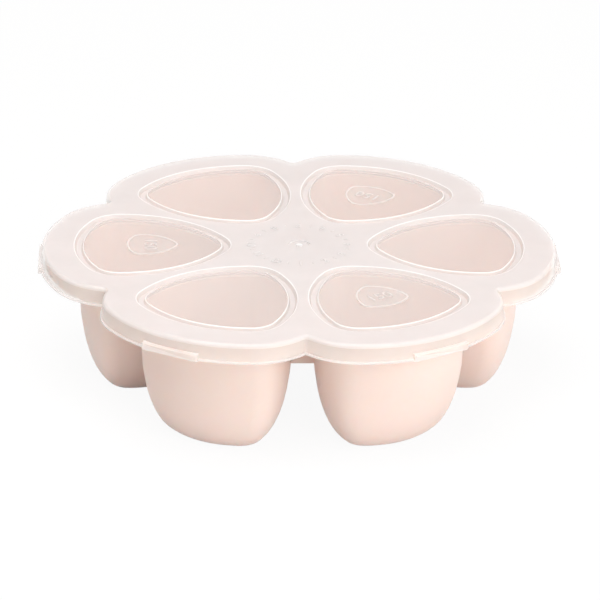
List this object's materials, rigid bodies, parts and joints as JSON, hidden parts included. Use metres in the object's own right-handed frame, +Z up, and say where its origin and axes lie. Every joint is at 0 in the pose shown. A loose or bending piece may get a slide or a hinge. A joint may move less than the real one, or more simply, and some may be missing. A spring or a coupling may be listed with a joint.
{
  "type": "baby food freezer tray",
  "caption": "Soft moulded tray of rounded cups set in a ring, with a frosted lid that has a clear window over each cup.",
  "frame": {"origin": "centre of the ring of cups, at the level of their bases", "axes": "+Z up along the ring's axis and out of the cups; +X through the middle of one cup and its lift tab"},
  "size_m": [0.2408, 0.2278, 0.064],
  "materials": {
    "silicone": "soft matt moulding, pale pink",
    "polypropylene": "translucent, frosted, with polished windows"
  },
  "bodies": {
    "tray": {"tray": "silicone"},
    "lid": {"lid": "polypropylene"}
  },
  "joints": [
    {"name": "lid_lift", "type": "slide", "parent": "tray", "child": "lid", "axis": [0, 0, 1], "range_m": [0, 0.08]}
  ]
}
